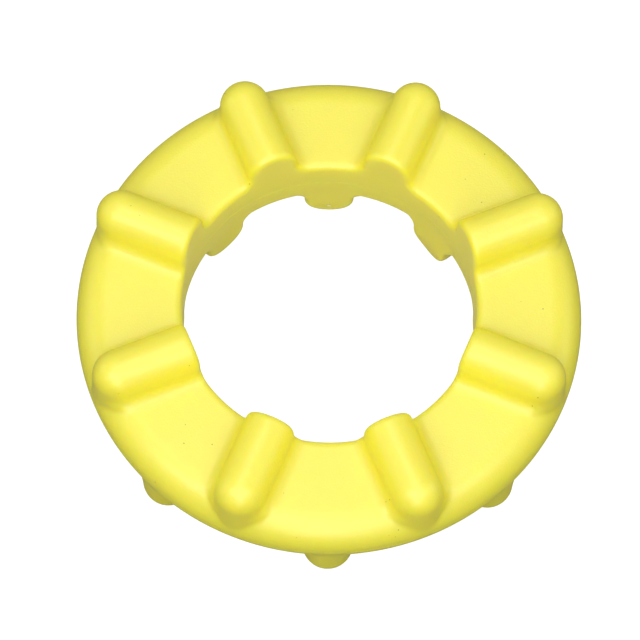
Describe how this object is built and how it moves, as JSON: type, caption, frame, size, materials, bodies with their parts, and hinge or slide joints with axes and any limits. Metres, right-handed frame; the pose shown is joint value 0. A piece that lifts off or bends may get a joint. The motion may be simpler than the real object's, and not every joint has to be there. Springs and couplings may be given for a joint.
{
  "type": "ribbed elastomer ring",
  "caption": "Soft moulded ring with half-round radial bars staggered on its two faces, made as two bonded hollow halves, for gripping, tossing and catching.",
  "frame": {"origin": "centre of the ring on the joint plane, midway between the two faces", "axes": "+Z along the ring's axis, out of the face whose bars lie half a pitch from +X; +X along a bar of the lower face"},
  "size_m": [0.1, 0.1, 0.0294],
  "materials": {
    "yellow_elastomer": "satin",
    "adhesive": "satin"
  },
  "bodies": {
    "root": {"upper_half": "yellow_elastomer", "lower_half": "yellow_elastomer", "outer_bond_ring": "adhesive", "inner_bond_ring": "adhesive"}
  },
  "joints": []
}
